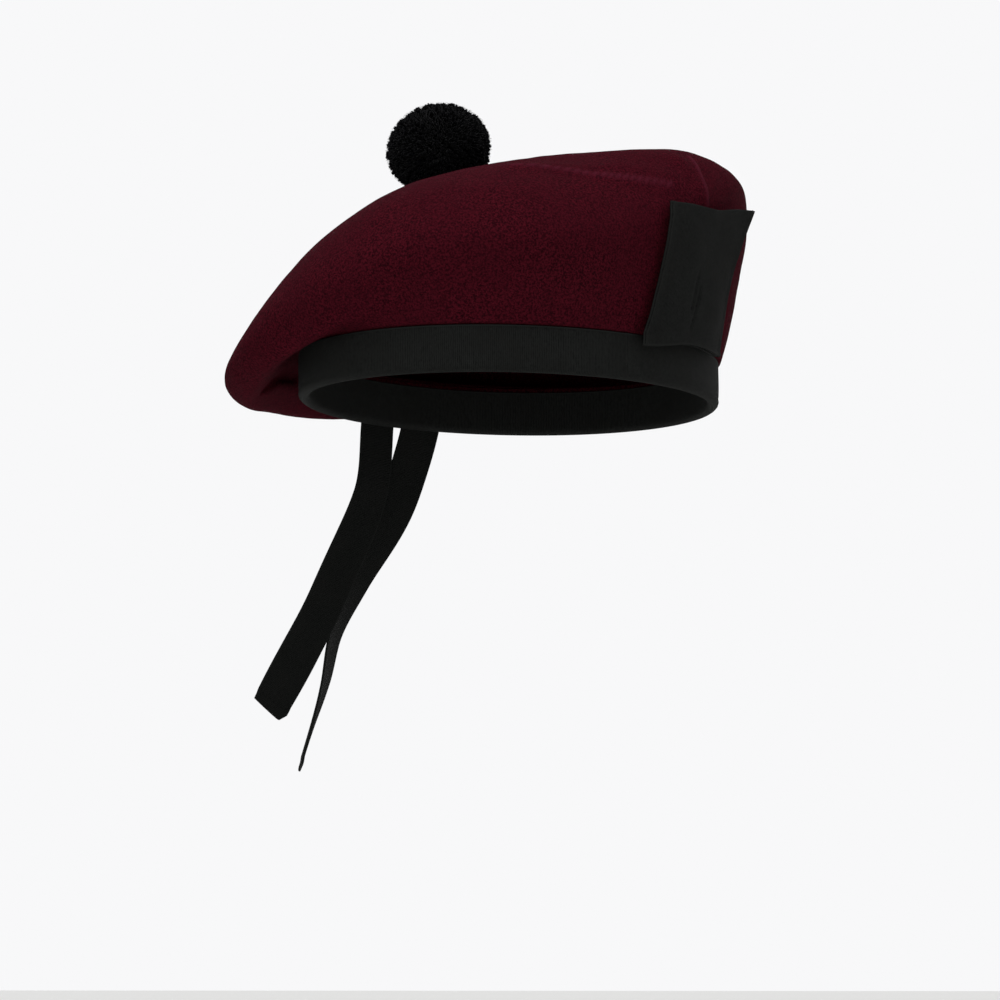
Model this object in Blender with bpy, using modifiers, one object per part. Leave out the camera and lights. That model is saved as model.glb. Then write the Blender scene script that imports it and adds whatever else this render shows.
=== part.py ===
"""Tam o' shanter: a felted wool crown on a ribbon-bound rim, with a wool pompom,
a folded ribbon cockade on the wearer's left side and two ribbon tails.

The origin is the centre of the head opening, in the plane of the rim's lower edge.
+Z is up through the crown, -Y is the hat's front and +X is the wearer's left.
A turn is an angle about +Z in degrees: 0 is the wearer's left, 90 the back,
180 the wearer's right and 270 the front. Lengths are in metres.
"""

import math

import bmesh
import bpy
import numpy as np
from mathutils import Matrix, Quaternion, Vector

# Head opening, measured inside the ribbon that lines the rim
HEAD_WIDTH = 0.163
HEAD_LENGTH = 0.199

# Walls and the gap that neighbouring pieces keep
FELT_WALL = 0.0022
RIBBON_WALL = 0.001
CLEARANCE = 0.0003

# Rim binding
BAND_HEIGHT = 0.019
FOLD_STEPS = 4

# Crown: its height over the rim, how far it hangs out past the band, the lip where it
# comes over the band's top edge, and the flat seat of the pompom, which the pull of the
# crown has moved to the wearer's right
CROWN_HEIGHT = 0.106
CROWN_OVERHANG = 0.036
LIP = 0.0014
SEAT_RADIUS = 0.013
SEAT_ASIDE = -0.0285
SEAT_FORWARD = 0.000
SEAT_HEIGHT = 0.0945
SEAT_TILT = 14.0

# Pompom: a ball flattened towards its seat, with tapered locks of yarn all over it
POMPOM_RADIUS = 0.0225
FLAT_SHARE = 0.86
POMPOM_SINK = 0.0008
LOCK_COUNT = 62
LOCK_LENGTH = 0.0052
LOCK_ROOT = 0.0050
LOCK_TIP = 0.0026
LOCK_SIDES = 5
HEAD_SHARE = 0.80

# Cockade: how far it laps the band, how far its upper back corner stands off, how far its
# top leans back from its foot, the share of its back half that is pinched in, and the
# stitched waist that draws its two layers together. LEAN_ABOUT and the pinch's start and
# span are shares of its height, and the waist's and fold's shares are of its width.
COCKADE_WIDTH = 0.062
COCKADE_HEIGHT = 0.059
COCKADE_DEPTH = 0.0036
COCKADE_TURN = -11.0
COCKADE_TILT = 5.0
COCKADE_LAP = 0.0022
COCKADE_PEEL = 0.005
COCKADE_GAP = 0.0009
COCKADE_LEAN = 0.0035
LEAN_ABOUT = 0.71
PINCH_SHARE = 0.30
PINCH_START = 0.06
PINCH_SPAN = 0.86
COCKADE_WAIST = 0.0012
WAIST_SHARE = 0.12
FOLD_SHARE = 0.06
FOLD_POWER = 0.35
COCKADE_STEPS_ACROSS = 10
COCKADE_STEPS_UP = 12

# Ribbon tails: how far their sewn ends reach up the band, and the slant of the cut ends
TAIL_WIDTH = 0.020
TAIL_LENGTH = 0.150
TAIL_TUCK = 0.014
TAIL_GAP = 0.0007
TAIL_CUT = 0.003

# How finely the soft forms are divided, and which of the crown's guides is its edge
AROUND = 64
SPAN_STEPS = 3
EDGE_GUIDE = 3

# One row for each direction of the crown. reach is a share of CROWN_OVERHANG and the
# heights are shares of CROWN_HEIGHT: under the overhang, at the widest edge, on the
# shoulder, half way up the top and close to the pompom.
CROWN_COLUMNS = ("turn", "reach", "under", "edge", "shoulder", "mid", "inner")
CROWN_ROWS = (
    (0, 0.32, 0.42, 0.815, 0.965, 0.975, 0.935),
    (22, 0.34, 0.43, 0.850, 0.957, 0.970, 0.935),
    (45, 0.36, 0.41, 0.745, 0.917, 0.955, 0.930),
    (90, 0.56, 0.25, 0.400, 0.630, 0.830, 0.865),
    (135, 0.84, 0.09, 0.190, 0.360, 0.630, 0.770),
    (160, 0.92, 0.04, 0.115, 0.265, 0.530, 0.715),
    (180, 0.94, 0.02, 0.095, 0.255, 0.510, 0.695),
    (202, 0.89, 0.00, 0.085, 0.265, 0.510, 0.690),
    (225, 0.75, 0.06, 0.165, 0.350, 0.590, 0.730),
    (247, 0.53, 0.16, 0.320, 0.525, 0.690, 0.785),
    (270, 0.33, 0.31, 0.480, 0.680, 0.795, 0.830),
    (315, 0.29, 0.36, 0.570, 0.775, 0.905, 0.905),
    (337, 0.30, 0.40, 0.700, 0.905, 0.955, 0.920),
)

# Where a row's heights stand: under as a share of its reach, the last three as shares of
# the way from the widest edge to the seat
UNDER_SHARE = 0.62
SHOULDER_SHARE = 0.13
MID_SHARE = 0.40
INNER_SHARE = 0.72

# One row for each soft crease in the felt, between two places on it. A place is a turn
# and a step, which counts the crown's guides from 0 at the widest edge up to 4 at the seat
# and down to -3 at the band. rise is a share of CREASE_RISE. The last crease is the
# hollow that the bagging felt leaves over the wearer's right cheek.
CREASE_COLUMNS = ("from_turn", "from_step", "to_turn", "to_step", "rise")
CREASE_ROWS = (
    (297, 1.6, 337, 0.4, 1.0),
    (344, 0.8, 346, 0.0, 0.8),
    (213, -1.3, 186, -1.6, 2.6),
)
CREASE_RISE = 0.0014
CREASE_SPREAD = 0.005

# One row for each stage of a tail's fall. fall, aside and away are shares of
# TAIL_LENGTH: down, along the rim towards the front, and out from the head. twist is
# the turn of the ribbon about its own run, in degrees.
TAIL_COLUMNS = ("fall", "aside", "away", "twist")
TAIL_ROWS = {
    "tail_front": (
        (0.00, 0.000, 0.000, 0),
        (0.20, 0.010, 0.020, 2),
        (0.48, 0.070, 0.120, 12),
        (0.67, 0.135, 0.190, 13),
        (0.843, 0.205, 0.245, 9),
    ),
    "tail_back": (
        (0.00, 0.000, 0.000, 0),
        (0.22, 0.045, 0.060, 0),
        (0.45, 0.130, 0.140, -20),
        (0.60, 0.176, 0.185, -40),
        (0.74, 0.184, 0.220, -49),
        (0.86, 0.210, 0.240, -54),
        (1.00, 0.253, 0.260, -55),
    ),
}
TAIL_TURN = {"tail_front": 152.0, "tail_back": 137.0}

CLOTH = {
    "felt": ((0.040, 0.006, 0.010), 0.95),
    "ribbon": ((0.010, 0.010, 0.010), 0.75),
    "yarn": ((0.003, 0.003, 0.003), 1.0),
}


def material(name):
    """The named cloth as a Principled material."""
    colour, roughness = CLOTH[name]
    made = bpy.data.materials.new(name)
    made.use_nodes = True
    shader = made.node_tree.nodes["Principled BSDF"]
    shader.inputs["Base Color"].default_value = (*colour, 1.0)
    shader.inputs["Roughness"].default_value = roughness
    shader.inputs["Metallic"].default_value = 0.0
    return made


def add_piece(name, bm, cloth, collection):
    """Turn a bmesh into a smooth-shaded object with its own material."""
    mesh = bpy.data.meshes.new(name)
    bm.to_mesh(mesh)
    bm.free()
    mesh.shade_smooth()
    mesh.materials.append(material(cloth))
    piece = bpy.data.objects.new(name, mesh)
    collection.objects.link(piece)
    return piece


def thicken(piece, wall, offset):
    """Give an open surface its wall. offset 0 keeps the surface in the middle."""
    solidify = piece.modifiers.new("wall", "SOLIDIFY")
    solidify.thickness = wall
    solidify.offset = offset
    solidify.use_even_offset = True


def grid_faces(bm, rows, closed):
    """Join rows of vertices with quads, each row to the next."""
    for low, high in zip(rows, rows[1:]):
        count = len(low)
        for i in range(count if closed else count - 1):
            j = (i + 1) % count
            bm.faces.new((low[i], low[j], high[j], high[i]))


def smooth_span(points, knots, share):
    """A point between the middle two of four, on a smooth curve through them."""
    a, b, c, d = points
    ka, kb, kc, kd = knots
    start = (c - a) / (kc - ka) * (kc - kb)
    end = (d - b) / (kd - kb) * (kc - kb)
    bend = 3 * (c - b) - 2 * start - end
    twist = 2 * (b - c) + start + end
    return b + start * share + bend * share**2 + twist * share**3


def smooth_path(points, steps):
    """Points along a smooth curve through the given ones, steps to a span."""
    points = [np.asarray(p, dtype=float) for p in points]
    guides = [2 * points[0] - points[1], *points, 2 * points[-1] - points[-2]]
    knots = [0.0]
    for before, after in zip(guides, guides[1:]):
        knots.append(knots[-1] + math.sqrt(np.linalg.norm((after - before)[:3])))
    path = [points[0]]
    for low in range(len(points) - 1):
        for step in range(1, steps + 1):
            span = slice(low, low + 4)
            path.append(smooth_span(guides[span], knots[span], step / steps))
    return path


def around_table(turn):
    """The crown's row at any turn, read from a smooth closed curve through the table."""
    table = np.array(CROWN_ROWS, dtype=float)
    count = len(table)
    turn = turn % 360.0
    low = int(np.searchsorted(table[:, 0], turn, side="right")) - 1
    picked = []
    for k in range(low - 1, low + 3):
        laps, index = divmod(k, count)
        picked.append(table[index] + np.eye(1, len(CROWN_COLUMNS))[0] * 360.0 * laps)
    knots = [row[0] for row in picked]
    share = (turn - knots[1]) / (knots[2] - knots[1])
    return dict(zip(CROWN_COLUMNS, smooth_span(picked, knots, share)))


def direction(turn):
    """The level unit vector at a turn."""
    angle = math.radians(turn)
    return np.array((math.cos(angle), math.sin(angle), 0.0))


def rim_radius(turn, outset):
    """Distance from the origin to the head oval, set out by outset, at a turn."""
    half_width = HEAD_WIDTH / 2 + outset
    half_length = HEAD_LENGTH / 2 + outset
    angle = math.radians(turn)
    across = math.cos(angle) / half_width
    along = math.sin(angle) / half_length
    return 1.0 / math.hypot(across, along)


def rim_point(turn, outset):
    """The point of the set-out head oval at a turn."""
    return direction(turn) * rim_radius(turn, outset)


def rim_tangent(turn, outset):
    """The level unit vector along the oval at a turn, towards greater turns."""
    run = rim_point(turn + 0.5, outset) - rim_point(turn - 0.5, outset)
    return run / np.linalg.norm(run)


FELT_OUTSET = RIBBON_WALL + CLEARANCE + FELT_WALL
BAND_OUTSET = FELT_OUTSET + CLEARANCE + RIBBON_WALL
FOLD_RADIUS = (BAND_OUTSET - RIBBON_WALL) / 2
FOLD_HEIGHT = RIBBON_WALL / 2 + FOLD_RADIUS
SEAT_CENTRE = np.array((SEAT_ASIDE, SEAT_FORWARD, SEAT_HEIGHT))
SEAT_NORMAL = np.array(
    (-math.sin(math.radians(SEAT_TILT)), 0.0, math.cos(math.radians(SEAT_TILT)))
)


def seat_point(level):
    """The point of the pompom's tilted seat straight above or below a point."""
    rise = np.dot(level - SEAT_CENTRE, SEAT_NORMAL)
    return level - np.array((0.0, 0.0, rise / SEAT_NORMAL[2]))


def plain_section(turn):
    """The crown's outer face from the band's top edge to the seat, without creases."""
    row = around_table(turn)
    out = direction(turn)
    rim = rim_radius(turn, FELT_OUTSET)
    band = rim_radius(turn, BAND_OUTSET)
    reach = row["reach"] * CROWN_OVERHANG
    edge = out * (band + reach)
    inward = SEAT_CENTRE * (1, 1, 0) - edge
    seat = SEAT_CENTRE - inward / np.linalg.norm(inward) * SEAT_RADIUS
    seat = seat_point(seat)

    def top_point(run, share):
        point = edge + (seat - edge) * run
        point[2] = share * CROWN_HEIGHT
        return point

    start = out * rim + (0, 0, BAND_HEIGHT + CLEARANCE)
    lip = out * (band + LIP) + (0, 0, BAND_HEIGHT + LIP)
    under = out * (band + reach * UNDER_SHARE) + (0, 0, row["under"] * CROWN_HEIGHT)
    guides = (
        start,
        lip,
        under,
        top_point(0.0, row["edge"]),
        top_point(SHOULDER_SHARE, row["shoulder"]),
        top_point(MID_SHARE, row["mid"]),
        top_point(INNER_SHARE, row["inner"]),
        seat,
    )
    return smooth_path(guides, SPAN_STEPS)


def place_on_crown(turn, step):
    """The point of the uncreased crown at a turn and a step from its widest edge."""
    section = np.array(plain_section(turn))
    stops = np.arange(len(section)) / SPAN_STEPS - EDGE_GUIDE
    return np.array([np.interp(step, stops, section[:, axis]) for axis in range(3)])


CREASES = []
for values in CREASE_ROWS:
    crease = dict(zip(CREASE_COLUMNS, values))
    crease_start = place_on_crown(crease["from_turn"], crease["from_step"])
    crease_end = place_on_crown(crease["to_turn"], crease["to_step"])
    CREASES.append((crease_start, crease_end, crease["rise"] * CREASE_RISE))


def crease_lift(point):
    """How far the felt stands up at a point, for the creases that pass near it."""
    lift = 0.0
    for start, end, rise in CREASES:
        run = end - start
        share = np.clip(np.dot(point - start, run) / np.dot(run, run), 0.0, 1.0)
        distance = np.linalg.norm(point - start - run * share)
        lift += rise * math.exp(-((distance / CREASE_SPREAD) ** 2))
    return lift


def crown_section(turn):
    """The crown's outer face with its creases, lifted away from the crown's middle."""
    middle = SEAT_CENTRE * (0, 0, 0.5)
    section = []
    for point in plain_section(turn):
        away = (point - middle) / np.linalg.norm(point - middle)
        section.append(point + away * crease_lift(point))
    return section


def turns(count):
    return [360.0 * i / count for i in range(count)]


def make_crown(collection):
    """The hollow felt crown: one wall from inside the binding to the seat."""
    bm = bmesh.new()
    columns = []
    for turn in turns(AROUND):
        foot = rim_point(turn, FELT_OUTSET)
        foot[2] = FOLD_HEIGHT
        columns.append([foot, *crown_section(turn)])
    rows = [[bm.verts.new(p) for p in level] for level in zip(*columns)]
    grid_faces(bm, rows, closed=True)
    centre = bm.verts.new(SEAT_CENTRE)
    ring = rows[-1]
    for i, vert in enumerate(ring):
        bm.faces.new((vert, ring[(i + 1) % AROUND], centre))
    crown = add_piece("crown", bm, "felt", collection)
    thicken(crown, FELT_WALL, -1.0)
    return crown


def make_headband(collection):
    """The ribbon folded round the rim's edge, half outside and half inside."""
    outer = BAND_OUTSET - RIBBON_WALL / 2
    inner = RIBBON_WALL / 2
    stations = [(outer, BAND_HEIGHT), (outer, FOLD_HEIGHT)]
    for step in range(1, FOLD_STEPS):
        angle = math.pi * step / FOLD_STEPS
        across = (outer + inner) / 2 + FOLD_RADIUS * math.cos(angle)
        stations.append((across, FOLD_HEIGHT - FOLD_RADIUS * math.sin(angle)))
    stations += [(inner, FOLD_HEIGHT), (inner, BAND_HEIGHT)]
    stations.reverse()
    bm = bmesh.new()
    rows = []
    for outset, height in stations:
        level = []
        for turn in turns(AROUND):
            level.append(bm.verts.new(rim_point(turn, outset) + (0, 0, height)))
        rows.append(level)
    grid_faces(bm, rows, closed=True)
    band = add_piece("headband", bm, "ribbon", collection)
    thicken(band, RIBBON_WALL, 0.0)
    return band


def wall_radius(turn, height):
    """How far out the band or the crown's side reaches at a turn and height."""
    band = rim_radius(turn, BAND_OUTSET)
    section = crown_section(turn)[: EDGE_GUIDE * SPAN_STEPS + 1]
    heights = [p[2] for p in section]
    radii = [math.hypot(p[0], p[1]) for p in section]
    side = float(np.interp(height, heights, radii))
    return max(band, side)


def make_cockade(collection):
    """A flat loop of wide ribbon, open at top and foot, sewn to the crown's side."""
    tilt = math.tan(math.radians(COCKADE_TILT))
    foot = BAND_HEIGHT - COCKADE_LAP
    bm = bmesh.new()
    rows = []
    for k in range(COCKADE_STEPS_UP + 1):
        up = k / COCKADE_STEPS_UP
        pinch = PINCH_SHARE * math.sin(math.pi * (PINCH_START + PINCH_SPAN * up))
        back, front = [], []
        for i in range(COCKADE_STEPS_ACROSS + 1):
            across = i / COCKADE_STEPS_ACROSS
            aside = (across - 0.5) * COCKADE_WIDTH
            if across > 0.5:
                aside *= 1 - pinch
            aside += COCKADE_LEAN * (up - LEAN_ABOUT)
            height = foot + COCKADE_HEIGHT * up + aside * tilt
            turn = COCKADE_TURN + math.degrees(aside / wall_radius(COCKADE_TURN, height))
            peel = COCKADE_PEEL * (max(0.0, 2 * across - 1) * up) ** 2
            base = wall_radius(turn, height) + COCKADE_GAP + RIBBON_WALL / 2 + peel
            waist = COCKADE_WAIST * math.exp(-(((across - 0.5) / WAIST_SHARE) ** 2))
            fold = math.sin(math.pi * min(max(across, FOLD_SHARE), 1 - FOLD_SHARE))
            depth = (COCKADE_DEPTH - RIBBON_WALL - waist) * fold**FOLD_POWER
            for side, out in ((back, base), (front, base + depth)):
                side.append(bm.verts.new(direction(turn) * out + (0, 0, height)))
        rows.append(back + front[::-1])
    grid_faces(bm, rows, closed=True)
    cockade = add_piece("cockade", bm, "ribbon", collection)
    thicken(cockade, RIBBON_WALL, 0.0)
    return cockade


def make_tail(name, collection):
    """One end of the ribbon, laid on the band and hanging free below the rim."""
    turn = TAIL_TURN[name]
    outset = BAND_OUTSET + TAIL_GAP + RIBBON_WALL / 2
    root = rim_point(turn, outset)
    along = rim_tangent(turn, outset)
    out = np.cross(along, (0.0, 0.0, 1.0))
    guides = [(*(root + (0, 0, TAIL_TUCK)), 0.0)]
    for values in TAIL_ROWS[name]:
        row = dict(zip(TAIL_COLUMNS, values))
        level = along * row["aside"] + out * row["away"]
        point = root + (level - np.array((0, 0, row["fall"]))) * TAIL_LENGTH
        guides.append((*point, row["twist"]))
    path = smooth_path(guides, SPAN_STEPS)
    bm = bmesh.new()
    near, far = [], []
    for index, stop in enumerate(path):
        before = path[max(index - 1, 0)]
        after = path[min(index + 1, len(path) - 1)]
        run = Vector((after - before)[:3]).normalized()
        across = Vector(along)
        across = (across - run * across.dot(run)).normalized()
        across = Quaternion(run, math.radians(stop[3])) @ across
        half = across * (TAIL_WIDTH / 2)
        cut = run * (TAIL_CUT if index == len(path) - 1 else 0.0)
        near.append(bm.verts.new(Vector(stop[:3]) - half))
        far.append(bm.verts.new(Vector(stop[:3]) + half - cut))
    grid_faces(bm, list(zip(near, far)), closed=False)
    tail = add_piece(name, bm, "ribbon", collection)
    thicken(tail, RIBBON_WALL, 0.0)
    return tail


def make_guide(name, bm, cutters):
    """A shape that only cuts or joins another piece, kept out of the model itself."""
    guide = add_piece(name, bm, "yarn", cutters)
    guide.hide_render = True
    guide.display_type = "WIRE"
    return guide


def combine(piece, guide, operation):
    boolean = piece.modifiers.new(guide.name, "BOOLEAN")
    boolean.operation = operation
    boolean.object = guide
    boolean.use_self = True


def yarn_locks():
    """Tapered locks spread evenly over a ball, each pointing away from its middle."""
    locks = bmesh.new()
    golden = math.pi * (3 - math.sqrt(5))
    for i in range(LOCK_COUNT):
        height = 1 - 2 * (i + 0.5) / LOCK_COUNT
        ring = math.sqrt(1 - height * height)
        way = Vector((ring * math.cos(golden * i), ring * math.sin(golden * i), height))
        turned = way.to_track_quat("Z", "Y").to_matrix().to_4x4()
        middle = Matrix.Translation(way * (POMPOM_RADIUS - LOCK_LENGTH / 2))
        bmesh.ops.create_cone(
            locks,
            cap_ends=True,
            segments=LOCK_SIDES,
            radius1=LOCK_ROOT,
            radius2=LOCK_TIP,
            depth=LOCK_LENGTH,
            matrix=middle @ turned,
        )
    return locks


def make_pompom(collection, cutters):
    """A ball of wool yarn: locks fused to a round head, cut flat where it is sewn on."""
    up = Vector(SEAT_NORMAL)
    seat = Vector(SEAT_CENTRE) + up * CLEARANCE
    bm = bmesh.new()
    bmesh.ops.create_icosphere(bm, subdivisions=2, radius=POMPOM_RADIUS * HEAD_SHARE)
    pompom = add_piece("pompom", bm, "yarn", collection)
    locks = make_guide("pompom_locks", yarn_locks(), cutters)
    half_block = 2 * POMPOM_RADIUS
    bm = bmesh.new()
    bmesh.ops.create_cube(bm, size=2 * half_block)
    block = make_guide("below_seat", bm, cutters)
    block.location = seat - up * half_block
    for piece in (pompom, locks):
        piece.location = seat + up * (POMPOM_RADIUS * FLAT_SHARE - POMPOM_SINK)
        piece.scale = (1.0, 1.0, FLAT_SHARE)
    for piece in (pompom, locks, block):
        piece.rotation_euler = up.to_track_quat("Z", "Y").to_euler()
    combine(pompom, locks, "UNION")
    combine(pompom, block, "DIFFERENCE")
    return pompom


def main():
    for old in list(bpy.data.objects):
        bpy.data.objects.remove(old, do_unlink=True)
    hat = bpy.data.collections.new("tam_o_shanter")
    cutters = bpy.data.collections.new("cutters")
    for collection in (hat, cutters):
        bpy.context.scene.collection.children.link(collection)
    make_crown(hat)
    make_headband(hat)
    make_cockade(hat)
    make_pompom(hat, cutters)
    for name in TAIL_ROWS:
        make_tail(name, hat)


main()
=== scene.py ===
"""The looks of a tam o' shanter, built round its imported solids.

Lengths are in metres, +Z is up, -Y is the hat's front and +X the wearer's left. The origin
is the middle of the head opening, in the plane of the rim's lower edge. A turn is an angle
about +Z in degrees: 0 is the wearer's left, 90 the back, 180 the right and 270 the front.
"""

import math

import bpy
import numpy as np
from mathutils import Matrix, Quaternion, Vector, noise


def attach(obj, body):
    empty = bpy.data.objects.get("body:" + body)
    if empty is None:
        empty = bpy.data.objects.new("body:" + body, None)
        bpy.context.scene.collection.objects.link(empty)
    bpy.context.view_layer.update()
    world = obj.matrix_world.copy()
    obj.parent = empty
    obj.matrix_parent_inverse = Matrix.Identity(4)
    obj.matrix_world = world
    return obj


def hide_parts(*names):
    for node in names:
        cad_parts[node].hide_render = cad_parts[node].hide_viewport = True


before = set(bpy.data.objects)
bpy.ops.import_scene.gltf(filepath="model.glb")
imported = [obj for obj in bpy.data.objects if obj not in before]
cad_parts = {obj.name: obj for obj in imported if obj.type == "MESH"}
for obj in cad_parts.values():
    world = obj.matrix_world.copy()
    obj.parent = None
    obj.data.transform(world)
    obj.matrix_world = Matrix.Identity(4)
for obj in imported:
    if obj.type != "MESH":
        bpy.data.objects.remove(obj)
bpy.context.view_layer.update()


# Crown
# One round of thick wool felt, knitted, shrunk and brushed, then steamed over a block.
# It is pulled down over the wearer's right ear, so it stands high and full on the left.
# Its mouth goes down inside the ribbon that binds the rim and is sewn there.

HEAD_WIDTH = 0.163
HEAD_LENGTH = 0.199
FELT_WALL = 0.0022
RIBBON_WALL = 0.001
CLEARANCE = 0.0003
BAND_HEIGHT = 0.019
FELT_OUTSET = RIBBON_WALL + CLEARANCE + FELT_WALL
BAND_OUTSET = FELT_OUTSET + CLEARANCE + RIBBON_WALL
FOLD_RADIUS = (BAND_OUTSET - RIBBON_WALL) / 2
FOLD_HEIGHT = RIBBON_WALL / 2 + FOLD_RADIUS

CROWN_HEIGHT = 0.106
CROWN_OVERHANG = 0.036
LIP = 0.0014
SEAT_RADIUS = 0.013
SEAT_TILT = math.radians(14.0)
SEAT_CENTRE = np.array((-0.0285, 0.0, 0.0945))
SEAT_NORMAL = np.array((-math.sin(SEAT_TILT), 0.0, math.cos(SEAT_TILT)))

# One row for each direction. reach is a share of CROWN_OVERHANG, and the heights are
# shares of CROWN_HEIGHT at places between the band and the pompom's seat.
CROWN_COLUMNS = ("turn", "reach", "under", "edge", "shoulder", "mid", "inner")
CROWN_ROWS = (
    (0, 0.32, 0.42, 0.815, 0.965, 0.975, 0.935),
    (22, 0.34, 0.43, 0.850, 0.957, 0.970, 0.935),
    (45, 0.36, 0.41, 0.745, 0.917, 0.955, 0.930),
    (90, 0.56, 0.25, 0.400, 0.630, 0.830, 0.865),
    (135, 0.84, 0.09, 0.190, 0.360, 0.630, 0.770),
    (160, 0.92, 0.04, 0.115, 0.265, 0.530, 0.715),
    (180, 0.94, 0.02, 0.095, 0.255, 0.510, 0.695),
    (202, 0.89, 0.00, 0.085, 0.265, 0.510, 0.690),
    (225, 0.75, 0.06, 0.165, 0.350, 0.590, 0.730),
    (247, 0.53, 0.16, 0.320, 0.525, 0.690, 0.785),
    (270, 0.33, 0.31, 0.480, 0.680, 0.795, 0.830),
    (315, 0.29, 0.36, 0.570, 0.775, 0.905, 0.905),
    (337, 0.30, 0.40, 0.700, 0.905, 0.955, 0.920),
)
UNDER_SHARE = 0.62
TOP_SHARES = (0.0, 0.13, 0.40, 0.72)
EDGE_GUIDE = 3
AROUND = 400
SPAN_STEPS = 14

# The felt's soft folds, as lines through places on it, with their rise and spread. A place
# is a turn and a number of guides above the crown's widest edge. The last broad one is
# the hollow that the bagging felt leaves over the wearer's right cheek.
BROAD_FOLDS = (
    (((297, 1.6), (337, 0.4)), 0.0014, 0.005),
    (((344, 0.8), (346, 0.0)), 0.0011, 0.005),
    (((307, 1.20), (317, 0.88), (328, 0.36)), -0.0009, 0.0035),
    (((208, -1.42), (199, -1.72), (188, -1.8)), 0.0058, 0.0045),
)
SHARP_FOLDS = (
    (((295, 1.62), (305, 1.44), (315, 1.13), (321, 0.90), (327, 0.63), (335, 0.33)), 0.0007),
    (((350, 0.78), (348, 0.50), (347, 0.19), (347, -0.13)), 0.0006),
)
SHARP_SPREAD = 0.0011

# the felt's slow and quick waves: height, size and seed of each
FELT_WAVES = ((0.0008, 0.030, 3.0), (0.0003, 0.009, 8.0))
LEG_ROWS = 4
SEAT_SHARES = (0.75, 0.5, 0.25, 0.02)
CROWN_ROUND = 0.75
CROWN_ROW_RISE = 0.0025


def smooth_span(points, knots, share):
    """A point between the middle two of four, on a smooth curve through them."""
    a, b, c, d = points
    ka, kb, kc, kd = knots
    start = (c - a) / (kc - ka) * (kc - kb)
    end = (d - b) / (kd - kb) * (kc - kb)
    bend = 3 * (c - b) - 2 * start - end
    twist = 2 * (b - c) + start + end
    return b + start * share + bend * share**2 + twist * share**3


def smooth_path(points, steps):
    """Points along a smooth curve through the given ones, steps to a span."""
    points = [np.asarray(p, dtype=float) for p in points]
    guides = [2 * points[0] - points[1], *points, 2 * points[-1] - points[-2]]
    knots = [0.0]
    for before, after in zip(guides, guides[1:]):
        knots.append(knots[-1] + math.sqrt(np.linalg.norm((after - before)[:3])))
    path = [points[0]]
    for low in range(len(points) - 1):
        for step in range(1, steps + 1):
            span = slice(low, low + 4)
            path.append(smooth_span(guides[span], knots[span], step / steps))
    return path


def around_table(turn):
    """The crown's row at any turn, read from a smooth closed curve through the table."""
    table = np.array(CROWN_ROWS, dtype=float)
    low = int(np.searchsorted(table[:, 0], turn % 360.0, side="right")) - 1
    picked = []
    for k in range(low - 1, low + 3):
        laps, index = divmod(k, len(table))
        picked.append(table[index] + np.eye(1, len(CROWN_COLUMNS))[0] * 360.0 * laps)
    knots = [row[0] for row in picked]
    share = (turn % 360.0 - knots[1]) / (knots[2] - knots[1])
    return dict(zip(CROWN_COLUMNS, smooth_span(picked, knots, share)))


def direction(turn):
    angle = math.radians(turn)
    return np.array((math.cos(angle), math.sin(angle), 0.0))


def rim_radius(turn, outset):
    """Distance from the origin to the head oval, set out by outset, at a turn."""
    across = math.cos(math.radians(turn)) / (HEAD_WIDTH / 2 + outset)
    along = math.sin(math.radians(turn)) / (HEAD_LENGTH / 2 + outset)
    return 1.0 / math.hypot(across, along)


def rim_point(turn, outset):
    return direction(turn) * rim_radius(turn, outset)


def plain_section(turn):
    """The crown's outer face from the band's top edge to the seat, without folds."""
    row = around_table(turn)
    out = direction(turn)
    band = rim_radius(turn, BAND_OUTSET)
    reach = row["reach"] * CROWN_OVERHANG
    edge = out * (band + reach)
    inward = SEAT_CENTRE * (1, 1, 0) - edge
    seat = SEAT_CENTRE - inward / np.linalg.norm(inward) * SEAT_RADIUS
    seat[2] -= np.dot(seat - SEAT_CENTRE, SEAT_NORMAL) / SEAT_NORMAL[2]
    guides = [
        rim_point(turn, FELT_OUTSET) + (0, 0, BAND_HEIGHT + CLEARANCE),
        out * (band + LIP) + (0, 0, BAND_HEIGHT + LIP),
        out * (band + reach * UNDER_SHARE) + (0, 0, row["under"] * CROWN_HEIGHT),
    ]
    for share, height in zip(TOP_SHARES, ("edge", "shoulder", "mid", "inner")):
        point = edge + (seat - edge) * share
        point[2] = row[height] * CROWN_HEIGHT
        guides.append(point)
    return smooth_path([*guides, seat], SPAN_STEPS)


def distance_to_line(points, line):
    """How far each point is from a line through several places on the top."""
    nearest = np.full(points.shape[:2], np.inf)
    stops = []
    for turn, step in line:
        section = np.array(plain_section(turn))
        steps = np.arange(len(section)) / SPAN_STEPS - EDGE_GUIDE
        stops.append([np.interp(step, steps, section[:, axis]) for axis in range(3)])
    stops = np.array(stops)
    for start, end in zip(stops, stops[1:]):
        run = end - start
        share = np.clip((points - start) @ run / (run @ run), 0.0, 1.0)
        gap = points - start - share[..., None] * run
        nearest = np.minimum(nearest, np.linalg.norm(gap, axis=2))
    return nearest


def ripple(points, size, seed):
    """A smooth value from -1 to 1 at each point that changes over a distance of size."""
    flat = points.reshape(-1, 3)
    values = [noise.noise(Vector(p) / size + Vector((seed, 0, 0))) for p in flat]
    return np.array(values).reshape(points.shape[:-1])


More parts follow.
